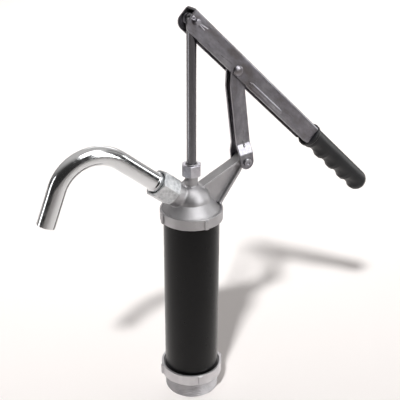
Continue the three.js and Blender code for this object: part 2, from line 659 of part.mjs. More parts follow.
add(lever, 'lever_channel', leverChannel(), finish.zinc());
add(lever, 'lever_grip', leverGrip(), finish.vinyl());
add(lever, 'clevis_pin', clevisPin(), finish.zinc());
add(lever, 'split_pin', splitPin(), finish.zinc());

add(link, 'link_shaft', linkShaft(), finish.zinc());
add(link, 'arm_rivet', armRivet(), finish.zinc());

const inLever = new THREE.Group();
inLever.position.set(
  Math.cos(LEVER_TILT) * PIN_B[0] + Math.sin(LEVER_TILT) * (PIN_A[1] - PIN_B[1]),
  0,
  Math.sin(LEVER_TILT) * PIN_B[0] - Math.cos(LEVER_TILT) * (PIN_A[1] - PIN_B[1]),
);
lever.add(inLever);

for (const [name, side] of [['front', -1], ['rear', 1]]) {
  add(lever, `pin_washer_${name}`, pinWasher(side), finish.zinc());
  add(inLever, `lever_rivet_${name}`, rivetHead(side), finish.zinc());
  add(link, `link_strap_${name}`, linkStrap(side), finish.zinc());
  add(link, `arm_washer_${name}`, armWasher(side), finish.zinc());
}

export default pump;
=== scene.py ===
import json
from math import atan2, cos, hypot, pi, radians, sin, sqrt, tan

import bmesh
import bpy
import numpy as np
from mathutils import Matrix, Vector


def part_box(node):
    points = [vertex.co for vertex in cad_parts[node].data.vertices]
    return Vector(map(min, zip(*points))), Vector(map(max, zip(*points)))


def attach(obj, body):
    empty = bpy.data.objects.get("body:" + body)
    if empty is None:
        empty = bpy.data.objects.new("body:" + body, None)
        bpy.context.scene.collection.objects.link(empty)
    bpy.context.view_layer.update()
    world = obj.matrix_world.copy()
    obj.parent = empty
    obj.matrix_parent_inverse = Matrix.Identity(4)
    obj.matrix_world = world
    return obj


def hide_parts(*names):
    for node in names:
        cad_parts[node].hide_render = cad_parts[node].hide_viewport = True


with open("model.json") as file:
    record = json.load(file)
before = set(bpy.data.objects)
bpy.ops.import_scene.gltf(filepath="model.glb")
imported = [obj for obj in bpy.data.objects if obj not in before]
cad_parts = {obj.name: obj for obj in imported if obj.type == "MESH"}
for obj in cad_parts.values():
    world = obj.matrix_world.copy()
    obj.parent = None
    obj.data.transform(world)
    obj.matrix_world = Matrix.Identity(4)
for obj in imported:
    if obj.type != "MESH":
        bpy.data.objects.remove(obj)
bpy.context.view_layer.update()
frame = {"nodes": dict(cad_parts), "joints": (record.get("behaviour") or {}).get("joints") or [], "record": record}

MM = 0.001

# ---- what the frame says

RECORD = frame["record"]
BODY_OF = {node: body for body, nodes in RECORD["behaviour"]["bodies"].items() for node in nodes}
SLOT_OF = {part["node"]: part["material_slot"] for part in RECORD["subparts"]}


def box(node):
    """Lowest and highest corner of a CAD node, in millimetres."""
    low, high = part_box(node)
    return low / MM, high / MM


def pivot(joint):
    """Where a joint turns, in millimetres."""
    return next(Vector(j["pos_m"]) / MM for j in frame["joints"] if j["name"] == joint)


RIVET_LOW, RIVET_HIGH = box("lever_rivet_front")
PIN_A = pivot("lever_pivot")
PIN_B = (RIVET_LOW + RIVET_HIGH) / 2 * Vector((1, 0, 1))
PIN_C = pivot("link_pivot")
BARREL_LOW, BARREL_HIGH = box("barrel_tube")
BASE_LOW, BASE_HIGH = box("base_casting")
HEAD_LOW, HEAD_HIGH = box("head_casting")
ROD_LOW, ROD_HIGH = box("plunger_rod")

# ---- shape constants

TURNED_SIDES = 192
SMALL_SIDES = 64

BARREL_WALL = 2.0
THREAD = {"root": 28.3, "crest": 29.8, "pitch": 2.309, "top": 18.0, "steepness": 1.25, "flat": 0.12,
          "run_out": 1.2}
BASE = {"r": 34.4, "bottom": 20.0, "floor": 24.6, "lip_r": 31.7}
BASE_POCKET = {"r": 20.0, "floor": 16.0, "inlet_r": 14.0}
SOCKET_R = 30.3
LUG = {"width": 4.4, "height": 1.7, "count": 4}
BASE_LUG_TURN = radians(-10.7)

COLLAR = {"r": 33.6, "top": 226.5, "socket_top": 222.5, "shoulder_r": 26.0}
RIM_GROOVE = {"r": 30.9, "half_width": 1.0, "depth": 2.0}
DOME = {"r": 20.7, "z": 232.8, "inner_r": 16.6}
CONE_TOP_R = 20.5
NECK = {"r": 6.6, "bore_r": 5.4}
ARM = {"half_width": 6.5, "half_web": 2.5, "flange": 3.0, "eye_r": 6.8, "bore_r": 3.5}
ARM_TOP_START = (6.0, 248.7)
ARM_SLOPE = radians(26.2)
ARM_FOOT = (33.0, 226.0)
ARM_EDGE_TOP = (57.0, 260.4)
NECK_RIB = {"half_width": 2.1, "outline": [(-4, 260), (-13.5, 255.9), (-16, 240), (-4, 240)]}
HEAD_FILLET = {"neck": 1.2, "boss": 1.2, "bar": 1.1, "eye": 2.5, "bracket": 1.8, "rib": 2.4, "lugs": 0.4}
CAST_EDGE = 0.5
CASTING_STEP = 0.5

ROD = {"r": 5.0, "end_r": 4.0, "end_top": 176.3, "collar_r": 9.0, "collar_low": 182.4, "collar_high": 185.0}
GLAND_NUT = {"flats": 19.0, "hole_r": 5.6, "chamber_r": 7.2, "lip": 2.4, "step": 0.3}
NUT_CORNER = {"share": 0.98, "slope": radians(30)}

SPOUT_RISE = radians(39)
SPOUT_FALL = radians(68.5)
SPOUT_ROOT = Vector((0, 0, 230))
SPOUT = {"r": 9.6, "wall": 1.25, "start": 43.6, "bend_start": 102.0, "bend_r": 42.0, "outlet": 38.8}
SPOUT_FLANGE = {"r": 11.5, "length": 2.4}
SPOUT_COLLAR = {"r": 10.8, "end": 55.0}
SPOUT_NUT = {"flats": 27.5, "start": 29.6, "end": 52.3, "turn": radians(12), "bore_r": 12.0,
             "lip": 3.3, "lip_r": 11.5, "step": 0.36}
BOSS = {"r": 12.0, "thread_r": 11.7, "thread_start": 27.0, "end": 41.2, "bore_r": 8.0}

LEVER_TILT = radians(43.4)
LEVER = {"half_width": 10.0, "sheet": 2.0, "top": 9.0, "bottom": -12.1, "bend": 3.4,
         "start": -7.2, "end": 202.0}
LEVER_CORNER_R = 9.0
LEVER_CUT = {"back": 3.0, "up": 1.6}
LEVER_RIB = {"start": 92.0, "end": 147.0, "z": -7.4, "half_width": 1.8, "height": 1.0}
TANG = {"r": 8.0, "start": 190.0, "end": 306.0, "z": -1.55}
GRIP = {"start": 202.5, "end": 315.0, "r": 12.0, "collar_r": 13.4, "collar_length": 4.0, "bore_r": 8.3}
FINGERS = {"count": 4, "r": 15.0, "depth": 2.4, "flatness": 0.75, "edge": 2.5, "start": 7.0, "rest": 11.0}
CLEVIS_PIN = {"r": 3.0, "tail": 5.0, "head_r": 5.4, "head_height": 2.2, "hole_r": 3.35}
PIN_WASHER = {"low": 5.3, "high": 7.7, "r": 5.6}
SPLIT_PIN = {"r": 0.8, "outside": 2.6, "hole_r": 1.5, "eye_x": -6.2, "eye_r": 1.5, "eye_gap": 0.6,
             "neck": -3.4, "leg": 13.0, "short_leg": 11.0}
SPLIT_PIN_SPREAD = {"start": 4.0, "lean": 0.06, "upper": 0.18, "lower": -0.1}
LEVER_RIVET = {"r": 5.4, "height": 2.4, "fullness": 2.2}
STRAP = {"half_width": 8.0, "sheet": 2.5, "top_face": 6.5, "bottom_face": 11.0, "end_r": 5.0, "taper": 18.0,
         "crease": 0.12, "crease_half": 0.9, "crease_z": 32.5}
JOGGLE = {"start": 9.3, "end": 20.7, "soft": 0.12}
STRAP_BEAD = {"z": 20.6, "length": 8.4, "half_width": 1.2, "height": 0.9}
STRAP_EDGE_R = 0.45
ARM_RIVET = {"r": 3.2, "head_r": 4.5, "head_height": 1.8, "dimple_r": 2.2, "dimple": 0.6}
ARM_WASHER_R = 6.6
SHAFT = {"r": 3.0, "spacer_r": 4.6, "half_spacer": 3.7}
GAP = 0.3
PIN_PLAY = 0.25

# ---- mesh tools


def rounded(corners, steps=5):
    """Outline through (x, y) corners, where a corner (x, y, radius) is rounded by an arc."""
    points = []
    for i, (x, y, *radius) in enumerate(corners):
        here = Vector((x, y))
        if not radius:
            points.append((x, y))
            continue
        before = Vector(corners[i - 1][:2]) - here
        after = Vector(corners[(i + 1) % len(corners)][:2]) - here
        half = before.angle(after) / 2
        reach = min(radius[0] / tan(half), 0.49 * min(before.length, after.length))
        r = reach * tan(half)
        centre = here + (before.normalized() + after.normalized()).normalized() * (r / sin(half))
        first = here + before.normalized() * reach - centre
        last = here + after.normalized() * reach - centre
        start = atan2(first.y, first.x)
        sweep = (atan2(last.y, last.x) - start + pi) % (2 * pi) - pi
        for k in range(steps + 1):
            angle = start + sweep * k / steps
            points.append((centre.x + r * cos(angle), centre.y + r * sin(angle)))
    return points


def arc(cx, cy, r, start, end, steps):
    """Points of a circular arc in a plane."""
    angles = np.linspace(start, end, steps + 1)
    return [(cx + r * cos(a), cy + r * sin(a)) for a in angles]


def about_z(r, z, angle):
    return np.stack([r * np.cos(angle), r * np.sin(angle), z], -1)


def ring_faces(rings, sides, closed=False):
    """Quads from each ring of points to the next one, and from the last to the first if closed."""
    i = np.arange(rings if closed else rings - 1)[:, None]
    j = np.arange(sides)[None, :]
    after, side = (i + 1) % rings, (j + 1) % sides
    faces = np.stack([i * sides + j, i * sides + side, after * sides + side, after * sides + j], -1)
    return faces.reshape(-1, 4)


def lathe(profile, sides=TURNED_SIDES, place=about_z):
    """Points and faces of a profile (r, z) carried round. It closes on itself or ends on the axis."""
    profile = np.array(profile, float)
    rows = len(profile)
    angle = np.broadcast_to(np.arange(sides) * 2 * pi / sides, (rows, sides))
    r, z = (np.repeat(profile[:, n : n + 1], sides, 1) for n in (0, 1))
    points = place(r, z, angle).reshape(-1, 3)
    on_axis = profile[0, 0] < 1e-6 and profile[-1, 0] < 1e-6
    return points, ring_faces(rows, sides, closed=not on_axis)


def cylinder(r, low, high, sides=48):
    """Plain solid cylinder, or a drill."""
    return lathe([(0, low), (r, low), (r, high), (0, high)], sides)


def swept(path, r, sides=16):
    """Round wire of radius r along a path of points, with rounded ends."""
    path = [Vector(p) for p in path]
    ahead, behind = path[1:] + path[-1:], path[:1] + path[:-1]
    tangents = [(a - b).normalized() for a, b in zip(ahead, behind)]
    across = tangents[0].orthogonal().normalized()
    rings = []
    for p, t in zip(path, tangents):
        across = (across - t * across.dot(t)).normalized()
        rings.append((p, t, across, r))
    tip = [(sin(a), cos(a)) for a in np.linspace(0, pi / 2, 5)]
    first = [(path[0] - tangents[0] * r * s, tangents[0], rings[0][2], r * c) for s, c in reversed(tip[1:])]
    last = [(path[-1] + tangents[-1] * r * s, tangents[-1], rings[-1][2], r * c) for s, c in tip[1:]]
    rings = first + rings + last
    points = []
    for p, t, u, radius in rings:
        v = t.cross(u)
        points += [p + (u * cos(a) + v * sin(a)) * radius for a in np.arange(sides) * 2 * pi / sides]
    return points, ring_faces(len(rings), sides)


def added(name, data):
    thing = bpy.data.objects.new(name, data)
    bpy.context.scene.collection.objects.link(thing)
    return thing


def object_of(name, shape, place=Matrix.Identity(4)):
    """Blender object of a (points, faces) shape in millimetres, merged and with its faces outwards."""
    points, faces = shape
    mesh = bpy.data.meshes.new(name)
    mesh.from_pydata([tuple(p) for p in points], [], [tuple(int(v) for v in face) for face in faces])
    mesh.transform(Matrix.Scale(MM, 4) @ place)
    work = bmesh.new()
    work.from_mesh(mesh)
    bmesh.ops.remove_doubles(work, verts=work.verts, dist=1e-7)
    bmesh.ops.recalc_face_normals(work, faces=work.faces)
    work.to_mesh(mesh)
    work.free()
    return added(name, mesh)


def settle(thing):
    """Applies an object's modifiers to its mesh."""
    bpy.context.view_layer.update()
    result = bpy.data.meshes.new_from_object(thing.evaluated_get(bpy.context.evaluated_depsgraph_get()))
    thing.modifiers.clear()
    thing.data = result
    return thing


def combine(thing, other, operation):
    """Boolean of one object with another, which is used up."""
    boolean = thing.modifiers.new("combine", "BOOLEAN")
    boolean.solver = "MANIFOLD"
    boolean.operation = operation
    boolean.object = other
    settle(thing)
    bpy.data.objects.remove(other)
    return thing


def drilled(thing, r, place, reach=20.0):
    """Cuts a round hole along the z axis of a place."""
    return combine(thing, object_of("hole", cylinder(r, -reach, reach), place), "DIFFERENCE")


def bevelled(thing, width):
    """Rounds an object's sharp edges."""
    bevel = thing.modifiers.new("bevel", "BEVEL")
    bevel.width = width * MM
    bevel.segments = 3
    bevel.limit_method = "ANGLE"
    bevel.angle_limit = radians(40)
    return settle(thing)


# ---- castings, as blended distance fields

CORNERS = np.array([(i, j, k) for i in (0, 1) for j in (0, 1) for k in (0, 1)])
CELL_EDGES = [(a, b) for a in range(8) for b in range(a) if np.abs(CORNERS[a] - CORNERS[b]).sum() == 1]


def surface_of(distance, low, high, step):
    """Points and quads of the surface where distance(x, y, z) is 0: found on a grid, then moved onto it."""
    origin = np.array(low, float) - 2 * step
    counts = np.ceil((np.array(high, float) + 2 * step - origin) / step).astype(int) + 1
    axes = [origin[i] + step * np.arange(counts[i]) for i in range(3)]
    values = distance(*np.meshgrid(*axes, indexing="ij"))
    inside = values < 0
    cell_counts = counts - 1
    held = sum(
        inside[i : i + cell_counts[0], j : j + cell_counts[1], k : k + cell_counts[2]].astype(np.int8)
        for i, j, k in CORNERS
    )
    cells = np.argwhere((held > 0) & (held < 8))
    number = np.full(cell_counts, -1)
    number[tuple(cells.T)] = np.arange(len(cells))
    total = np.zeros((len(cells), 3))
    hits = np.zeros(len(cells))
    at_corner = [values[tuple((cells + corner).T)] for corner in CORNERS]
    for a, b in CELL_EDGES:
        crossed = (at_corner[a] < 0) != (at_corner[b] < 0)
        share = at_corner[a][crossed] / (at_corner[a][crossed] - at_corner[b][crossed])
        total[crossed] += CORNERS[a] + share[:, None] * (CORNERS[b] - CORNERS[a])
        hits[crossed] += 1
    points = origin + (cells + total / hits[:, None]) * step
    small = step / 10
    for _ in range(3):
        here = distance(*points.T)
        slope = np.stack([(distance(*(points + small * e).T) - here) / small for e in np.eye(3)], -1)
        move = -here[:, None] * slope / np.maximum((slope**2).sum(-1, keepdims=True), 0.2)
        points += np.clip(move, -step / 4, step / 4)
    quads = []
    for axis in range(3):
        along, u, v = (np.eye(3, dtype=int)[(axis + n) % 3] for n in range(3))
        far = [slice(1, None) if along[n] else slice(None) for n in range(3)]
        near = [slice(None, -1) if along[n] else slice(None) for n in range(3)]
        edge = np.argwhere(inside[tuple(near)] != inside[tuple(far)])
        edge = edge[(edge[:, u.argmax()] > 0) & (edge[:, v.argmax()] > 0)]
        edge = edge[(edge < cell_counts).all(-1)]
        around = [number[tuple((edge - offset).T)] for offset in (0 * u, u, u + v, v)]
        quads.append(np.stack(around, -1))
    return points, np.concatenate(quads)


def blend_join(a, b, radius):
    """Union of two distance fields with a fillet."""
    h = np.clip(radius - np.abs(a - b), 0, None) / radius
    return np.minimum(a, b) - h * h * radius / 4


def blend_cut(a, b, radius):
    """What is left of the field a after b is cut out, with a rounded edge."""
    return -blend_join(-a, b, radius)


def blend_meet(a, b, radius):
    """Intersection of two distance fields with a rounded edge."""
    return -blend_join(-a, -b, radius)


def polygon_distance(px, py, outline):
    """Distance to a closed outline in its plane, negative inside."""
    corners = np.array(outline, float)
    nearest = np.full(px.shape, np.inf)
    inside = np.zeros(px.shape, bool)
    for (ax, ay), (bx, by) in zip(corners, np.roll(corners, -1, 0)):
        ex, ey = bx - ax, by - ay
        wx, wy = px - ax, py - ay
        along = np.clip((wx * ex + wy * ey) / (ex * ex + ey * ey), 0, 1)
        nearest = np.minimum(nearest, (wx - along * ex) ** 2 + (wy - along * ey) ** 2)
        if ay != by:
            crosses = ((ay <= py) != (by <= py)) & (wx < ex * wy / ey)
            inside ^= crosses
    return np.where(inside, -1, 1) * np.sqrt(nearest)


class Table:
    """A plane distance field worked out once on a fine grid, and then looked up."""

    def __init__(self, outline, low, high, step=0.2):
        self.low, self.step = np.array(low, float), step
        self.counts = np.ceil((np.array(high) - low) / step).astype(int) + 1
        a, b = (self.low[i] + step * np.arange(self.counts[i]) for i in range(2))
        self.values = polygon_distance(*np.meshgrid(a, b, indexing="ij"), outline)

    def __call__(self, a, b):
        u = np.clip((a - self.low[0]) / self.step, 0, self.counts[0] - 1.001)
        v = np.clip((b - self.low[1]) / self.step, 0, self.counts[1] - 1.001)
        i, j = u.astype(int), v.astype(int)
        u, v = u - i, v - j
        t = self.values
        below = t[i, j] * (1 - u) + t[i + 1, j] * u
        above = t[i, j + 1] * (1 - u) + t[i + 1, j + 1] * u
        return below * (1 - v) + above * v


def prism_distance(flat, y, half):
    """Distance to a plane shape extruded to y = -half and y = half."""
    over = np.abs(y) - half
    outside = np.hypot(np.maximum(flat, 0), np.maximum(over, 0))
    return outside + np.minimum(np.maximum(flat, over), 0)


def spout_coordinates(x, y, z):
    """Distance along the spout's first axis, and the two coordinates across it."""
    along = -x * cos(SPOUT_RISE) + (z - SPOUT_ROOT.z) * sin(SPOUT_RISE)
    across = x * sin(SPOUT_RISE) + (z - SPOUT_ROOT.z) * cos(SPOUT_RISE)
    return along, across, y


def hexagon_distance(a, b, flats):
    """Distance to a hexagon with a corner on the first axis."""
    sides = [np.abs(a * cos(radians(t)) + b * sin(radians(t))) - flats / 2 for t in (30, 90, 150)]
    return blend_meet(blend_meet(sides[0], sides[1], 0.5), sides[2], 0.5)


def nut_distance(a, b, along, flats, low, high):
    """Distance to a hexagonal nut whose corners are turned down at both ends."""
    r = np.hypot(a, b)
    half = (high - low) / 2
    end = np.abs(along - low - half) - half
    slope = NUT_CORNER["slope"]
    chamfer = (r - flats / 2 * NUT_CORNER["share"]) * sin(slope) + end * cos(slope)
    body = blend_meet(hexagon_distance(a, b, flats), end, 0.4)
    return blend_meet(body, chamfer, 0.3)


def lug_distance(x, y, z, r, low, high):
    """Distance to the spanner lugs round a collar."""
    nearest = np.full(x.shape, np.inf)
    for i in range(LUG["count"]):
        angle = i * 2 * pi / LUG["count"]
        out = x * cos(angle) + y * sin(angle)
        side = -x * sin(angle) + y * cos(angle)
        far = np.maximum(out - r - LUG["height"], r - 3 - out)
        wide = np.abs(side) - LUG["width"] / 2
        tall = np.maximum(low - z, z - high)
        one = blend_meet(blend_meet(far, wide, 0.4), tall, 0.4)
        nearest = np.minimum(nearest, one)
    return nearest


def arm_outline(inset):
    """Side view of the bracket arm, drawn in from its edge."""
    rise = tan(ARM_SLOPE)
    (edge_x, edge_z), (foot_x, foot_z) = ARM_EDGE_TOP, ARM_FOOT
    drop = inset / cos(ARM_SLOPE)
    back = inset / sin(atan2(edge_z - foot_z, edge_x - foot_x))
    tip = PIN_C.x - 2
    top = ARM_TOP_START[1] - ARM_TOP_START[0] * rise - drop
    return [
        (2, top + 2 * rise), (tip, top + tip * rise), (edge_x - back, edge_z), (foot_x - back, foot_z),
        (CONE_TOP_R, DOME["z"]), (2, DOME["z"]),
    ]


def head_fields():
    """Plane fields of the head: its turned outside and cavity, and the arm with its recess."""
    bottom, top = HEAD_LOW.z, HEAD_HIGH.z
    r, rim, groove, socket = COLLAR["r"], COLLAR["top"], RIM_GROOVE, COLLAR["socket_top"]
    past_axis = -1
    below, above, beside = 4, 14, 16
    dome_start = sqrt(DOME["r"] ** 2 - CONE_TOP_R**2)
    dome = arc(0, DOME["z"], DOME["r"], atan2(dome_start, CONE_TOP_R), pi / 2, 24)
    outside = rounded([
        (past_axis, bottom), (r, bottom, 0.7), (r, rim, 1.1), (groove["r"] + groove["half_width"], rim, 0.4),
        (groove["r"], rim - groove["depth"], 0.3), (groove["r"] - groove["half_width"], rim, 0.5),
    ]) + dome + [(past_axis, DOME["z"] + DOME["r"])]
    inner = rounded([
        (past_axis, bottom - 2), (SOCKET_R, bottom - 2), (SOCKET_R, socket), (COLLAR["shoulder_r"], socket),
    ]) + arc(0, DOME["z"], DOME["inner_r"], 0, pi / 2, 16) + [(past_axis, DOME["z"] + DOME["inner_r"])]
    low, high = (2 * past_axis, bottom - below), (PIN_C.x + beside, top + above)
    fields = [Table(outline, low, high)
              for outline in (outside, inner, arm_outline(0), arm_outline(ARM["flange"]))]
    return fields + [Table(NECK_RIB["outline"], (-40, bottom - below), (10, top + above))]


def head_shape():
    outside, inner, arm, arm_recess, rib = head_fields()
    top, fillet = HEAD_HIGH.z, HEAD_FILLET

    def distance(x, y, z):
        r = np.hypot(x, y)
        along, across, side = spout_coordinates(x, y, z)
        boss_r = np.hypot(across, side)
        body = outside(r, z)
        neck = blend_meet(r - NECK["r"], np.abs(z - top / 2) - top / 2, CAST_EDGE)
        body = blend_join(body, neck, fillet["neck"])
        boss = np.maximum(boss_r - BOSS["r"], np.maximum(along - BOSS["thread_start"], -along))
        body = blend_join(body, boss, fillet["boss"])
        flat, round_pin = arm(x, z), np.hypot(x - PIN_C.x, z - PIN_C.z)
        web = prism_distance(flat, y, ARM["half_web"])
        bar = blend_meet(prism_distance(flat, y, ARM["half_width"]), -arm_recess(x, z), CAST_EDGE)
        eye = blend_meet(round_pin - ARM["eye_r"], np.abs(y) - ARM["half_width"], 0.6)
        bracket = blend_join(blend_join(web, bar, fillet["bar"]), eye, fillet["eye"])
        body = blend_join(body, bracket, fillet["bracket"])
        body = blend_join(body, prism_distance(rib(x, z), y, NECK_RIB["half_width"]), fillet["rib"])
        lugs = lug_distance(x, y, z, COLLAR["r"], HEAD_LOW.z + 0.4, COLLAR["top"] - 1.5)
        body = blend_join(body, lugs, fillet["lugs"])
        spigot = np.maximum(boss_r - BOSS["thread_r"], np.maximum(along - BOSS["end"], -along))
        body = np.minimum(body, spigot)
        body = blend_cut(body, inner(r, z), 0.6)
        body = blend_cut(body, np.maximum(boss_r - BOSS["bore_r"], -along), CAST_EDGE)
        body = blend_cut(body, np.maximum(r - NECK["bore_r"], DOME["z"] - z), CAST_EDGE)
        return blend_cut(body, round_pin - ARM["bore_r"], 0.4)

    return surface_of(distance, HEAD_LOW, HEAD_HIGH, CASTING_STEP)


def gland_nut_shape():
    low, high = box("gland_nut")

    def distance(x, y, z):
        r = np.hypot(x, y)
        body = nut_distance(x, y, z, GLAND_NUT["flats"], low.z, high.z)
        body = blend_cut(body, r - GLAND_NUT["hole_r"] - np.clip(z - high.z + 0.8, 0, 1), 0.4)
        return np.maximum(body, -np.maximum(r - GLAND_NUT["chamber_r"], z - high.z + GLAND_NUT["lip"]))

    return surface_of(distance, low, high, GLAND_NUT["step"])


def spout_nut_shape():
    nut = SPOUT_NUT

    def distance(x, y, z):
        along, across, side = spout_coordinates(x, y, z)
        r = np.hypot(across, side)
        turn = nut["turn"]
        a, b = side * cos(turn) - across * sin(turn), side * sin(turn) + across * cos(turn)
        body = nut_distance(a, b, along, nut["flats"], nut["start"], nut["end"])
        mouth = r - nut["lip_r"] - np.clip(along - nut["end"] + 1, 0, 2)
        body = blend_cut(body, mouth, 0.5)
        return np.maximum(body, -np.maximum(r - nut["bore_r"], along - nut["end"] + nut["lip"]))

    return surface_of(distance, *box("spout_nut"), nut["step"])


# ---- turned pieces


def barrel_shape():
    r, low, high = BARREL_HIGH.x, BARREL_LOW.z, BARREL_HIGH.z
    inner = r - BARREL_WALL
    return lathe(rounded([(inner, low, 0.4), (r, low, 0.5), (r, high, 0.5), (inner, high, 0.4)]))


def smooth(t):
    t = np.clip(t, 0, 1)
    return t * t * (3 - 2 * t)


def on_base(r, z, angle):
    """Base casting: cuts the thread's helix and raises the lugs on the turned profile."""
    turn = z / THREAD["pitch"] - angle / (2 * pi)
    wave = 1 - np.abs(2 * (turn - np.floor(turn)) - 1)
    ridge = smooth(wave * THREAD["steepness"] - THREAD["flat"])
    fade = smooth(z / THREAD["run_out"]) * smooth((THREAD["top"] - 0.4 - z) / THREAD["run_out"])
    threaded = (np.abs(r - THREAD["root"]) < 0.01) & (z < THREAD["top"])
    r = r + threaded * (THREAD["crest"] - THREAD["root"]) * ridge * fade
    step = 2 * pi / LUG["count"]
    nearest = (angle - BASE_LUG_TURN + step / 2) % step - step / 2
    side = smooth((LUG["width"] / 2 + 0.3 - np.abs(nearest) * BASE["r"]) / 0.6)
    tall = smooth((z - BASE["bottom"] - 0.3) / 0.7) * smooth((BASE_HIGH.z - 0.3 - z) / 0.7)
    on_collar = (r > BASE["r"] - 1.5) & (z > BASE["bottom"] - 0.1)
    return about_z(r + on_collar * LUG["height"] * side * tall, z, angle)


def base_shape():
    top = BASE_HIGH.z
    root, r, lip_r, bottom, pocket = THREAD["root"], BASE["r"], BASE["lip_r"], BASE["bottom"], BASE_POCKET
    thread_rows = [(root, z) for z in np.arange(0.3, THREAD["top"], THREAD["pitch"] / 12)]
    collar_rows = [(r, z) for z in np.linspace(bottom + 1, top - 1, 16)]
    start = [(pocket["inlet_r"], 0), (root - 0.3, 0)]
    lip = rounded([(root, THREAD["top"]), (root, bottom, 0.4), (r, bottom, 0.8), (r, bottom + 1)])
    mouth = rounded([
        (r, top - 1), (r, top, 0.8), (lip_r, top, 0.4), (lip_r, top - 2.4), (SOCKET_R, top - 3),
        (SOCKET_R, BASE["floor"]), (pocket["r"], BASE["floor"]), (pocket["r"], pocket["floor"]),
        (pocket["inlet_r"], pocket["floor"]),
    ])
    return lathe(start + thread_rows + lip + collar_rows + mouth, 288, on_base)


def rod_shape():
    low, tip, r, end_r = ROD_LOW.z, ROD_HIGH.z - ROD["r"], ROD["r"], ROD["end_r"]
    neck, collar_r = ROD["end_top"], ROD["collar_r"]
    collar_low, collar_high = ROD["collar_low"], ROD["collar_high"]
    profile = rounded([
        (0, low), (end_r, low, 0.5), (end_r, neck), (r, neck, 0.3), (r, collar_low),
        (collar_r, collar_low, 0.4), (collar_r, collar_high, 0.4), (r, collar_high + 1, 0.5), (r, tip - 1),
    ])
    return lathe(profile + arc(0, tip, r, 0, pi / 2, 12), SMALL_SIDES)


def on_spout(r, along, angle):
    """A point r off the spout's centre line, at a distance along it from the barrel's axis."""
    bend = SPOUT["bend_r"] * (SPOUT_RISE + SPOUT_FALL)
    straight = np.minimum(along, SPOUT["bend_start"])
    turned = np.clip(along - SPOUT["bend_start"], 0, bend)
    rest = np.maximum(along - SPOUT["bend_start"] - bend, 0)
    heading = SPOUT_RISE - turned / SPOUT["bend_r"]
    x = -straight * cos(SPOUT_RISE) - rest * np.cos(heading)
    x = x - SPOUT["bend_r"] * (sin(SPOUT_RISE) - np.sin(heading))
    z = SPOUT_ROOT.z + straight * sin(SPOUT_RISE)
    z = z + SPOUT["bend_r"] * (np.cos(heading) - cos(SPOUT_RISE)) + rest * np.sin(heading)
    across = r * np.cos(angle)
    return np.stack([x + across * np.sin(heading), r * np.sin(angle), z + across * np.cos(heading)], -1)


def spout_shape():
    r, inner = SPOUT["r"], SPOUT["r"] - SPOUT["wall"]
    end = SPOUT["bend_start"] + SPOUT["bend_r"] * (SPOUT_RISE + SPOUT_FALL) + SPOUT["outlet"]
    flange_end = SPOUT["start"] + SPOUT_FLANGE["length"]
    collar = SPOUT_COLLAR
    outside = rounded([
        (collar["r"], flange_end), (collar["r"], collar["end"], 0.8),
        (r, collar["end"] + 1.2, 0.8), (r, collar["end"] + 3),
    ]) + [(r, s) for s in np.arange(collar["end"] + 4, end - 1, 1.5)]
    inside = [(inner, s) for s in np.arange(end - 1.5, SPOUT["start"] + 1, -2.5)]
    lip = rounded([(r, end - 1), (r, end, 0.35), (inner, end, 0.35), (inner, end - 1)])
    flange = [(SPOUT_FLANGE["r"], SPOUT["start"]), (SPOUT_FLANGE["r"], flange_end)]
    return lathe(flange + outside + lip + inside + [(inner, SPOUT["start"])], SMALL_SIDES, on_spout)


def along_grip(r, along, angle):
    """Grip in the lever's frame: angle 0 points down, where the finger grooves are."""
    pitch = (GRIP["end"] - GRIP["start"] - FINGERS["start"] - FINGERS["rest"]) / FINGERS["count"]
    first = GRIP["start"] + FINGERS["start"]
    groove = (along - first) % pitch - pitch / 2
    inside = (along > first) & (along < first + pitch * FINGERS["count"])
    sag = FINGERS["r"] - np.sqrt(np.maximum(FINGERS["r"] ** 2 - groove**2, 0))
    soft_edge = smooth((pitch / 2 - np.abs(groove)) / FINGERS["edge"])
    depth = np.clip(FINGERS["depth"] - sag * FINGERS["flatness"], 0, None) * soft_edge * inside
    r = r - (r > GRIP["r"] - 3.5) * depth * smooth((np.cos(angle) - 0.05) / 0.75)
    return np.stack([along, r * np.sin(angle), TANG["z"] - r * np.cos(angle)], -1)


def grip_shape():
    g = GRIP
    collar_end = g["start"] + g["collar_length"]
    flange = rounded([
        (g["bore_r"], g["start"], 0.3), (g["collar_r"], g["start"], 0.9), (g["collar_r"], collar_end, 1.0),
        (g["r"], collar_end + 1.6, 1.2), (g["r"], collar_end + 3),
    ])
    body = [(g["r"], s) for s in np.arange(collar_end + 3.5, g["end"] - g["r"], 0.8)]
    end = arc(0, g["end"] - g["r"], g["r"], 0, pi / 2, 20)
    bore_end = TANG["end"] + 0.3
    bore = [(g["bore_r"], s) for s in np.linspace(bore_end, g["start"] + 1, 12)]
    return lathe(flange + body + end + [(0, bore_end)] + bore, 96, along_grip)


# ---- lever channel


def lever_bottom(along):
    """Lower edge of the lever's flanges: a rounded tail, then straight, then rising to the grip."""
    r = LEVER_CORNER_R
    tail = np.clip(LEVER["start"] + r - along, 0, r)
    rise = LEVER_CUT["up"] * smooth((along - LEVER["end"] + LEVER_CUT["back"]) / LEVER_CUT["back"])
    return LEVER["bottom"] + r - np.sqrt(r * r - tail * tail) + rise


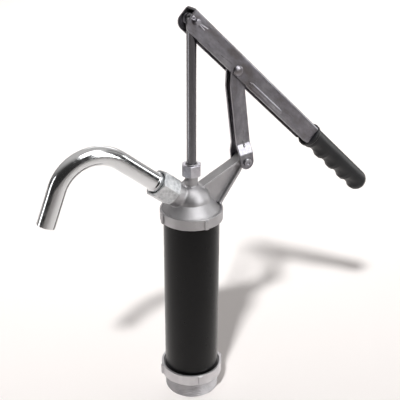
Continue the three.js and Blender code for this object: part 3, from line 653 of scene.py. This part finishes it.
def lever_surface(along, inset):
    """Rows of points across the lever's bent sheet, from one flange's edge to the other's."""
    half, top = LEVER["half_width"] - inset, LEVER["top"] - inset
    bend = max(LEVER["bend"] - inset, 0.4)
    rib = LEVER_RIB
    up = np.linspace(0, 1, 34)
    rows = []
    for s in along:
        edge = float(lever_bottom(s))
        z = edge + (LEVER["top"] - LEVER["bend"] - edge) * up
        ends = max(rib["start"] + rib["half_width"] - s, s - rib["end"] + rib["half_width"], 0)
        off = np.hypot(ends, z - rib["z"]) / rib["half_width"]
        raised = rib["height"] * np.sqrt(np.clip(1 - off**2, 0, 1)) ** 0.8
        front = np.stack([np.full_like(z, s), -half - raised, z], -1)
        turn = np.linspace(0, pi / 2, 7)[1:]
        corner = np.stack([
            np.full_like(turn, s), -half + bend * (1 - np.cos(turn)), top - bend * (1 - np.sin(turn)),
        ], -1)
        flat = np.linspace(-half + bend, 0, 6)[1:]
        web = np.stack([np.full_like(flat, s), flat, np.full_like(flat, top)], -1)
        near = np.concatenate([front, corner, web])
        rows.append(np.concatenate([near, near[-2::-1] * (1, -1, 1)]))
    return np.array(rows)


def lever_shape():
    r = LEVER_CORNER_R
    tail = LEVER["start"] + r * (1 - np.cos(np.linspace(0, pi / 2, 14)))
    along = np.concatenate([tail, np.arange(LEVER["start"] + r + 1, LEVER["end"], 1.1), [LEVER["end"]]])
    outer, inner = lever_surface(along, 0), lever_surface(along, LEVER["sheet"])
    sections = np.concatenate([outer, inner[:, ::-1]], 1)
    rows, around = sections.shape[:2]
    faces = list(ring_faces(rows, around))
    for start in (0, (rows - 1) * around):
        for j in range(around // 2 - 1):
            across = (j, j + 1, around - 2 - j, around - 1 - j)
            faces.append([start + k for k in across])
    return sections.reshape(-1, 3), faces


# ---- where things go

IN_LEVER = Matrix.Translation(PIN_A) @ Matrix.Rotation(LEVER_TILT, 4, "Y")
LINK_VECTOR = PIN_B - PIN_C
LINK_LENGTH = LINK_VECTOR.length
LINK_LEAN = atan2(LINK_VECTOR.x, LINK_VECTOR.z)
IN_LINK = Matrix.Translation(PIN_C) @ Matrix.Rotation(LINK_LEAN, 4, "Y")
TO_FRONT = Matrix.Rotation(pi / 2, 4, "X")
TO_REAR = Matrix.Rotation(-pi / 2, 4, "X")
FACING = {"front": TO_FRONT, "rear": TO_REAR}
ALONG_X = Matrix.Rotation(pi / 2, 4, "Y")
FLIP_Y = Matrix.Scale(-1, 4, (0, 1, 0))

# ---- materials


def colour_ramp(tree, value, stops):
    """Colours, or greys given as numbers, at positions along a value."""
    node = tree.nodes.new("ShaderNodeValToRGB")
    elements = node.color_ramp.elements
    while len(elements) < len(stops):
        elements.new(0.5)
    for element, (position, colour) in zip(elements, stops):
        element.position = position
        grey = isinstance(colour, (int, float))
        element.color = (colour, colour, colour, 1) if grey else (*colour, 1)
    tree.links.new(value, node.inputs["Fac"])
    return node.outputs["Color"]


class Shader:
    """A material's node tree, with short calls for the few node kinds used here."""

    def __init__(self, name, metallic=0.0, specular=0.5):
        self.material = bpy.data.materials.new(name)
        self.material.use_nodes = True
        self.tree = self.material.node_tree
        self.surface = self.tree.nodes["Principled BSDF"]
        self.surface.inputs["Metallic"].default_value = metallic
        self.surface.inputs["Specular IOR Level"].default_value = specular
        self.place = self.tree.nodes.new("ShaderNodeTexCoord").outputs["Object"]

    def link(self, output, name):
        self.tree.links.new(output, self.surface.inputs[name])

    def texture(self, kind, vector=None, **values):
        """A node that follows the object's coordinates, or another vector."""
        node = self.tree.nodes.new(kind)
        for name, value in values.items():
            node.inputs[name].default_value = value
        self.tree.links.new(vector or self.place, node.inputs["Vector"])
        return node

    def stretched(self, scale, turn_y=0.0):
        """Object coordinates turned about Y and then scaled along each axis."""
        turned = self.texture("ShaderNodeMapping", Rotation=(0, turn_y, 0)).outputs["Vector"]
        return self.texture("ShaderNodeMapping", turned, Scale=scale).outputs["Vector"]

    def noise(self, scale, detail=3.0, vector=None, roughness=0.55):
        node = self.texture("ShaderNodeTexNoise", vector, Scale=scale, Detail=detail, Roughness=roughness)
        return node.outputs["Fac"]

    def spots(self, scale):
        return self.texture("ShaderNodeTexVoronoi", Scale=scale).outputs["Distance"]

    def ramp(self, value, stops):
        return colour_ramp(self.tree, value, stops)

    def fade(self, name, value, low, high, start=0.3, end=0.7):
        """Takes an input from low to high as a texture rises from start to end."""
        self.link(self.ramp(value, [(start, low), (end, high)]), name)

    def mix(self, factor, a, b, kind="MIX"):
        node = self.tree.nodes.new("ShaderNodeMix")
        node.data_type = "RGBA"
        node.blend_type = kind
        colours = [socket for socket in node.inputs if socket.type == "RGBA"]
        for socket, value in ((node.inputs["Factor"], factor), (colours[0], a), (colours[1], b)):
            if isinstance(value, bpy.types.NodeSocket):
                self.tree.links.new(value, socket)
            else:
                socket.default_value = value
        return next(socket for socket in node.outputs if socket.type == "RGBA")

    def bump(self, height, distance, strength=1.0, under=None):
        """Relief of the given depth in millimetres, laid over another."""
        node = self.tree.nodes.new("ShaderNodeBump")
        node.inputs["Distance"].default_value = distance * MM
        node.inputs["Strength"].default_value = strength
        self.tree.links.new(height, node.inputs["Height"])
        if under is not None:
            self.tree.links.new(under, node.inputs["Normal"])
        self.link(node.outputs["Normal"], "Normal")
        return node.outputs["Normal"]


def black_paint():
    s = Shader("black_paint", specular=0.22)
    cloud = s.noise(38, 4)
    s.fade("Base Color", cloud, (0.002, 0.002, 0.0022), (0.0035, 0.0035, 0.0038), end=0.75)
    s.fade("Roughness", s.noise(160, 5), 0.22, 0.28)
    s.bump(s.noise(420, 2), 0.02)
    return s.material


def cast_aluminium(name, tone):
    s = Shader(name, metallic=1.0)
    cloud = s.noise(70, 5)
    tints = (0.25, (0.47, 0.462, 0.475)), (0.55, (0.53, 0.522, 0.534)), (0.8, (0.60, 0.592, 0.60))
    colours = s.ramp(cloud, [(place, tuple(tone * c for c in colour)) for place, colour in tints])
    grain = s.noise(2600, 3)
    s.link(s.mix(0.35, colours, s.ramp(grain, [(0.3, 0.46), (0.7, 0.66)]), "MULTIPLY"), "Base Color")
    s.fade("Roughness", s.noise(900, 4), 0.44, 0.56)
    under = s.bump(s.noise(130, 3), 0.12, 0.6)
    s.bump(grain, 0.09, 0.8, under)
    return s.material


def zinc_steel(name, turn_y=0.0, tone=1.0):
    """Drawn and plated sheet: long fine lines, faint blue and brown clouds, small marks."""
    s = Shader(name, metallic=1.0)
    cloud = s.noise(46, 7, s.stretched((0.7, 1.3, 1.3), turn_y), 0.62)
    dark, mid, light = (0.155, 0.142, 0.140), (0.245, 0.238, 0.262), (0.40, 0.40, 0.42)
    stops = [(p, tuple(c * tone for c in colour)) for p, colour in ((0.3, dark), (0.5, mid), (0.72, light))]
    lines = s.noise(55, 6, s.stretched((0.35, 26, 26), turn_y), 0.7)
    fine = s.ramp(lines, [(0.25, 0.72), (0.75, 1.0)])
    s.link(s.mix(0.5, s.ramp(cloud, stops), fine, "MULTIPLY"), "Base Color")
    s.fade("Roughness", s.noise(240, 5, s.stretched((0.4, 3, 3), turn_y)), 0.26, 0.40)
    under = s.bump(s.noise(55, 2, s.stretched((0.35, 26, 26), turn_y)), 0.008, 0.4)
    s.bump(s.noise(330, 4), 0.012, 0.4, under)
    return s.material


def rough_zinc():
    s = Shader("rough_zinc", metallic=1.0)
    patches = s.spots(260)
    greys = (0.1, (0.55, 0.565, 0.58)), (0.5, (0.68, 0.695, 0.71)), (0.9, (0.80, 0.815, 0.82))
    tone = s.ramp(patches, greys)
    fine_tone = s.ramp(s.noise(700, 5), [(0.35, 0.62), (0.7, 1.0)])
    s.link(s.mix(0.4, tone, fine_tone, "MULTIPLY"), "Base Color")
    s.fade("Roughness", s.noise(420, 4), 0.42, 0.62)
    under = s.bump(s.noise(300, 4), 0.16, 0.8)
    s.bump(s.noise(1500, 3), 0.06, 0.7, under)
    return s.material


def chrome():
    s = Shader("chrome", metallic=1.0)
    s.fade("Base Color", s.noise(40, 4), (0.68, 0.695, 0.705), (0.76, 0.772, 0.78))
    s.fade("Roughness", s.noise(220, 4), 0.12, 0.2, 0.35)
    s.bump(s.noise(150, 2), 0.02, 0.5)
    return s.material


def rod_steel():
    s = Shader("rod_steel", metallic=1.0)
    lines = s.noise(60, 5, s.stretched((30, 30, 0.6)), 0.7)
    s.fade("Base Color", lines, (0.15, 0.15, 0.163), (0.23, 0.227, 0.24))
    s.fade("Roughness", s.noise(180, 4), 0.16, 0.24)
    s.bump(s.noise(60, 2, s.stretched((30, 30, 0.6))), 0.004, 0.5)
    return s.material


def brass():
    s = Shader("brass", metallic=1.0)
    s.fade("Base Color", s.noise(60, 4), (0.50, 0.36, 0.13), (0.62, 0.47, 0.19))
    s.fade("Roughness", s.noise(400, 4), 0.24, 0.36)
    s.bump(s.noise(500, 3), 0.01, 0.5)
    return s.material


def black_vinyl():
    s = Shader("black_vinyl", specular=0.32)
    s.fade("Base Color", s.noise(60, 4), (0.008, 0.0085, 0.0095), (0.014, 0.0145, 0.016), end=0.75)
    s.fade("Roughness", s.noise(320, 5), 0.36, 0.5)
    under = s.bump(s.noise(90, 3), 0.06, 0.5)
    s.bump(s.noise(1100, 3), 0.012, 0.6, under)
    return s.material


def black_rubber():
    s = Shader("black_rubber", specular=0.4)
    s.fade("Base Color", s.noise(90, 4), (0.012, 0.012, 0.012), (0.022, 0.022, 0.022))
    s.fade("Roughness", s.noise(500, 4), 0.6, 0.8)
    s.bump(s.noise(900, 3), 0.03, 0.6)
    return s.material


def fibre():
    s = Shader("fibre")
    strands = s.noise(700, 6, s.stretched((1, 1, 4)), 0.7)
    s.fade("Base Color", strands, (0.20, 0.09, 0.05), (0.34, 0.18, 0.11))
    s.fade("Roughness", strands, 0.75, 0.9)
    s.bump(strands, 0.05, 0.7)
    return s.material


MATERIALS = {
    "black_paint": black_paint(),
    "cast_aluminium": cast_aluminium("cast_aluminium", 1.0),
    "zinc_steel": zinc_steel("zinc_small", 0.0, 1.3),
    "rough_zinc": rough_zinc(),
    "chrome": chrome(),
    "rod_steel": rod_steel(),
    "brass": brass(),
    "black_vinyl": black_vinyl(),
    "black_rubber": black_rubber(),
    "fibre": fibre(),
}
LEVER_ZINC = zinc_steel("zinc_lever", -LEVER_TILT)
STRAP_ZINC = zinc_steel("zinc_strap", pi / 2)
NUT_ZINC = zinc_steel("zinc_nut", 0.0, 2.0)
# Copy of the cast aluminium with a 1.4 times lighter colour for the base casting: painted light, standing in for
# the light the white floor throws on the low part.
ALUMINIUM_PAINTED_LIGHTER = cast_aluminium("aluminium_painted_lighter", 1.4)

# ---- pieces


def stand_for(thing, node, material=None, crease=radians(32)):
    """The finished piece takes its CAD node's place, body and finish."""
    thing.data.materials.clear()
    thing.data.materials.append(material or MATERIALS[SLOT_OF[node]])
    thing.data.shade_smooth()
    thing.data.set_sharp_from_angle(angle=crease)
    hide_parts(node)
    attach(thing, BODY_OF[node])


def fine(node, shape, place=Matrix.Identity(4), material=None, crease=radians(32)):
    stand_for(object_of(f"{node}_fine", shape, place), node, material, crease)


def make_lever():
    lever = bevelled(object_of("lever_channel_fine", lever_shape(), IN_LEVER), 0.4)
    r, start, end = TANG["r"], TANG["start"], TANG["end"]
    tang = lathe(rounded([(0, start), (r, start, 0.5), (r, end, 1.5), (0, end)]), 48)
    lay_down = IN_LEVER @ Matrix.Translation((0, 0, TANG["z"])) @ ALONG_X
    combine(lever, object_of("tang", tang, lay_down), "UNION")
    drilled(lever, CLEVIS_PIN["hole_r"], IN_LEVER @ TO_REAR)
    stand_for(lever, "lever_channel", LEVER_ZINC)


def make_clevis_pin():
    pin, face = CLEVIS_PIN, LEVER["half_width"]
    tail, seat = -face - pin["tail"], face + GAP
    top = seat + pin["head_height"]
    profile = rounded([
        (0, tail), (pin["r"], tail, 0.7), (pin["r"], seat), (pin["head_r"], seat, 0.3),
        (pin["head_r"], top, 0.8), (0, top),
    ])
    thing = object_of("clevis_pin_fine", lathe(profile, SMALL_SIDES), IN_LEVER @ TO_REAR)
    wire_hole = IN_LEVER @ Matrix.Translation((0, -face - SPLIT_PIN["outside"], 0)) @ ALONG_X
    stand_for(drilled(thing, SPLIT_PIN["hole_r"], wire_hole), "clevis_pin")


def make_split_pin():
    """One bent wire: a leg, the eye and the other leg, with the legs' tips spread a little."""
    pin, bent = SPLIT_PIN, SPLIT_PIN_SPREAD
    y, gap = -LEVER["half_width"] - pin["outside"], pin["r"] * 0.52

    def leg(places, height, spread):
        past = [max(x - bent["start"], 0) for x in places]
        return [(x, y - bent["lean"] * p, height + spread * p) for x, p in zip(places, past)]

    turns = np.linspace(pin["eye_gap"], 2 * pi - pin["eye_gap"], 26)
    eye = [(pin["eye_x"] + pin["eye_r"] * cos(a), y, pin["eye_r"] * sin(a)) for a in turns]
    upper = leg(np.linspace(pin["leg"], pin["neck"], 16), gap, bent["upper"])
    lower = leg(np.linspace(pin["neck"], pin["short_leg"], 16), -gap, bent["lower"])
    wire = swept(upper + eye + lower, pin["r"] * 0.62, 14)
    fine("split_pin", wire, IN_LEVER, NUT_ZINC, radians(60))


def make_washers(name, place, inner, outer, low, high):
    """A washer on each side of a pin, from low to high off the middle plane."""
    profile = rounded([(inner, low, 0.2), (outer, low, 0.3), (outer, high, 0.3), (inner, high, 0.2)])
    for side, facing in FACING.items():
        fine(f"{name}_{side}", lathe(profile, 48), place @ facing)


def make_lever_rivets():
    """Low domed heads, a little fuller than half an ellipse."""
    rivet, seat = LEVER_RIVET, LEVER["half_width"] + GAP
    power = 2 / rivet["fullness"]
    angles = np.linspace(0, pi / 2, 12)
    dome = [(rivet["r"] * cos(a) ** power, seat + rivet["height"] * sin(a) ** power) for a in angles]
    for side, facing in FACING.items():
        place = Matrix.Translation(PIN_B) @ facing
        fine(f"lever_rivet_{side}", lathe([(0, seat)] + dome, SMALL_SIDES), place, None, radians(50))


def joggle_share(t):
    """Straight ramp from 0 to 1 whose two ends are rounded."""
    soft = JOGGLE["soft"]
    t = min(max(t, -soft), 1 + soft)
    if t < soft:
        return (t + soft) ** 2 / (4 * soft)
    if t > 1 - soft:
        return 1 - (1 - t + soft) ** 2 / (4 * soft)
    return t


def strap_offset(z):
    """How far a strap's outer face stands off the middle plane at a height along it."""
    share = joggle_share((z - JOGGLE["start"]) / (JOGGLE["end"] - JOGGLE["start"]))
    crease = STRAP["crease"] * max(1 - abs(z - STRAP["crease_z"]) / STRAP["crease_half"], 0)
    return STRAP["bottom_face"] + (STRAP["top_face"] - STRAP["bottom_face"]) * share + crease


def strap_half_width(z):
    """Half the strap's width: round at the foot, parallel, then tapering to a round top."""
    if z < 0:
        return sqrt(max(STRAP["half_width"] ** 2 - z * z, 0))
    if z > LINK_LENGTH:
        return sqrt(max(STRAP["end_r"] ** 2 - (z - LINK_LENGTH) ** 2, 0))
    share = max(z - LINK_LENGTH + STRAP["taper"], 0) / STRAP["taper"]
    return STRAP["half_width"] + (STRAP["end_r"] - STRAP["half_width"]) * share


def bead_height(x, z):
    """Short pressed bead across the upper bend of the joggle."""
    bead = STRAP_BEAD
    past = max(abs(z - bead["z"]) - bead["length"] / 2 + bead["half_width"], 0)
    share = 1 - (hypot(x, past) / bead["half_width"]) ** 2
    return bead["height"] * sqrt(share) if share > 0 else 0


def strap_shape():
    """Sheet lofted along the strap from rounded-edge sections."""
    half, end_r, bead_side = STRAP["half_width"], STRAP["end_r"], 1.6
    foot = [-half * cos(a) for a in np.linspace(0, pi / 2, 20)]
    top = [LINK_LENGTH + end_r * sin(a) for a in np.linspace(0, pi / 2, 16)]
    levels = foot + list(np.arange(0.4, 35, 0.4)) + list(np.arange(36, LINK_LENGTH - 1, 3)) + top
    turn = np.linspace(0, pi / 2, 5)
    points = []
    for z in levels:
        width = max(strap_half_width(z), 0.02)
        r = min(STRAP_EDGE_R, width * 0.6)
        left_part = np.linspace(-width + r, -bead_side, 6)
        right_part = np.linspace(bead_side, width - r, 6)
        across = np.concatenate([left_part, np.arange(-1.4, 1.5, 0.2), right_part])
        if width < 3:
            across = np.linspace(-width + r, width - r, len(across))
        face = strap_offset(z)
        front = [(x, -face - bead_height(x, z), z) for x in across]
        right = [(width - r + r * sin(a), -face + r - r * cos(a), z) for a in turn[1:]]
        back = -face + STRAP["sheet"]
        low_right = [(width - r + r * cos(a), back - r + r * sin(a), z) for a in turn]
        behind = [(x, back - bead_height(x, z) * 0.6, z) for x in across[::-1]]
        low_left = [(-width + r - r * sin(a), back - r + r * cos(a), z) for a in turn[1:]]
        left = [(-width + r - r * cos(a), -face + r - r * sin(a), z) for a in turn[:-1]]
        points += front + right + low_right + behind + low_left + left
    count = len(points) // len(levels)
    ends = [range(count), range(len(points) - count, len(points))]
    return points, list(ring_faces(len(levels), count)) + ends


def make_straps():
    for name, side in (("front", Matrix.Identity(4)), ("rear", FLIP_Y)):
        fine(f"link_strap_{name}", strap_shape(), IN_LINK @ side, STRAP_ZINC, radians(30))


def make_link_shaft():
    spacer, end = SHAFT["half_spacer"], STRAP["top_face"]
    r, wide = SHAFT["r"], SHAFT["spacer_r"]
    profile = rounded([
        (0, -end), (r, -end, 0.3), (r, -spacer), (wide, -spacer, 0.3), (wide, spacer, 0.3), (r, spacer),
        (r, end, 0.3), (0, end),
    ])
    fine("link_shaft", lathe(profile, SMALL_SIDES), Matrix.Translation(PIN_B) @ TO_REAR)


def make_arm_rivet():
    a = ARM_RIVET
    seat = STRAP["bottom_face"] + GAP
    face = seat + a["head_height"]
    floor = face - a["dimple"]
    side = rounded([
        (a["r"], 0), (a["r"], seat), (a["head_r"], seat, 0.2), (a["head_r"], face, 0.8),
        (a["dimple_r"], face, 0.3), (a["dimple_r"] - a["dimple"], floor, 0.2), (0, floor),
    ])
    profile = [(r, -z) for r, z in reversed(side[1:])] + side
    fine("arm_rivet", lathe(profile, SMALL_SIDES), Matrix.Translation(PIN_C) @ TO_REAR)


def make_rod():
    rod = object_of("plunger_rod_fine", rod_shape())
    drilled(rod, CLEVIS_PIN["r"] + PIN_PLAY, Matrix.Translation(PIN_A) @ TO_REAR)
    stand_for(rod, "plunger_rod")


fine("barrel_tube", barrel_shape())
# The base casting takes the lighter aluminium copy, whose colour is painted light from the floor below it.
fine("base_casting", base_shape(), material=ALUMINIUM_PAINTED_LIGHTER, crease=radians(40))
fine("head_casting", head_shape(), crease=radians(60))
fine("gland_nut", gland_nut_shape(), material=NUT_ZINC, crease=radians(60))
fine("spout_nut", spout_nut_shape(), crease=radians(60))
fine("spout_tube", spout_shape())
fine("lever_grip", grip_shape(), IN_LEVER)
make_rod()
make_lever()
make_clevis_pin()
make_split_pin()
make_washers("pin_washer", IN_LEVER, CLEVIS_PIN["r"] + PIN_PLAY, PIN_WASHER["r"], PIN_WASHER["low"],
             PIN_WASHER["high"])
make_lever_rivets()
make_straps()
make_link_shaft()
make_arm_rivet()
make_washers("arm_washer", Matrix.Translation(PIN_C), ARM_RIVET["r"] + GAP, ARM_WASHER_R,
             ARM["half_width"] + GAP, STRAP["bottom_face"] - STRAP["sheet"] - GAP)

for node, thing in frame["nodes"].items():
    thing.data.materials.clear()
    thing.data.materials.append(MATERIALS[SLOT_OF[node]])

# ---- floor, light, camera


def floor_material():
    s = Shader("floor", specular=0.2)
    s.fade("Base Color", s.noise(3, 2), (0.92, 0.882, 0.862), (0.93, 0.894, 0.875))
    s.fade("Roughness", s.noise(8, 2), 0.75, 0.85)
    return s.material


def make_floor():
    size, z = 12, BASE_LOW.z * MM
    mesh = bpy.data.meshes.new("floor")
    corners = [(-size, -size, z), (size, -size, z), (size, size, z), (-size, size, z)]
    mesh.from_pydata(corners, [], [(0, 1, 2, 3)])
    mesh.materials.append(floor_material())
    added("floor", mesh)


def make_lamp(name, kind, place, target, power):
    lamp = bpy.data.lights.new(name, kind)
    lamp.energy = power
    light = added(name, lamp)
    light.location = place
    light.rotation_euler = (Vector(target) - light.location).to_track_quat("-Z", "Y").to_euler()
    return light


def softbox(name, place, target, width, height, power, diffuse=True):
    light = make_lamp(name, "AREA", place, target, power)
    light.data.shape = "RECTANGLE"
    light.data.size, light.data.size_y = width, height
    light.visible_diffuse, light.visible_camera = diffuse, False


def make_key(place, target, radius, power, cone, blend):
    """Spotlight that throws the soft shadow on the floor and isn't mirrored in the metal."""
    light = make_lamp("key", "SPOT", place, target, power)
    light.data.shadow_soft_size = radius
    light.data.spot_size, light.data.spot_blend = cone, blend
    light.visible_glossy = False


def make_world():
    """Studio surroundings: pale overhead and behind the object, dark low down on the near side."""
    world = bpy.data.worlds.new("studio")
    world.use_nodes = True
    tree = world.node_tree
    place = tree.nodes.new("ShaderNodeTexCoord")
    toward = tree.nodes.new("ShaderNodeVectorMath")
    toward.operation = "DOT_PRODUCT"
    toward.inputs[1].default_value = Vector((0.30, 0.55, 0.78)).normalized()
    tree.links.new(place.outputs["Generated"], toward.inputs[0])
    greys = ((0.0, 0.03), (0.3, 0.06), (0.62, 0.45), (0.8, 0.6), (1.0, 0.6))
    warm = [(position, (grey, grey * 0.97, grey * 0.955)) for position, grey in greys]
    tint = colour_ramp(tree, toward.outputs["Value"], warm)
    tree.links.new(tint, tree.nodes["Background"].inputs["Color"])
    bpy.context.scene.world = world


def make_camera():
    lens = bpy.data.cameras.new("camera")
    lens.sensor_width = 36
    lens.lens = 72
    camera = added("camera", lens)
    camera.location = (-0.3564, -0.6789, 0.5866)
    heading, tilt, roll = radians(-28.371), radians(65.35), radians(0.25)
    turned = Matrix.Rotation(heading, 3, "Z") @ Matrix.Rotation(tilt, 3, "X") @ Matrix.Rotation(roll, 3, "Z")
    camera.rotation_euler = turned.to_euler()
    bpy.context.scene.camera = camera


make_floor()
make_world()
make_key(place=(-7.2, -7.5, 12.9), target=(0.66, 1.20, 0), radius=0.84, power=13200, cone=radians(10.6),
         blend=0.25)
softbox("back", (1.5, 2.5, 1.6), (1.3, 2.3, 0), 2.0, 1.5, 12)
softbox("front_right", (0.56, -1.15, 0.85), (0, 0, 0.28), 0.5, 0.95, 10, diffuse=False)
softbox("overhead", (0.15, -0.6, 1.75), (0, 0, 0.23), 1.0, 1.0, 13, diffuse=False)
softbox("right", (1.6, -0.15, 0.6), (0, 0, 0.3), 0.8, 0.9, 6, diffuse=False)
softbox("left_strip", (-0.55, 0.13, 0.30), (0, 0, 0.34), 0.09, 0.42, 0.42, diffuse=False)
make_camera()
bpy.context.scene.view_settings.view_transform = "Standard"
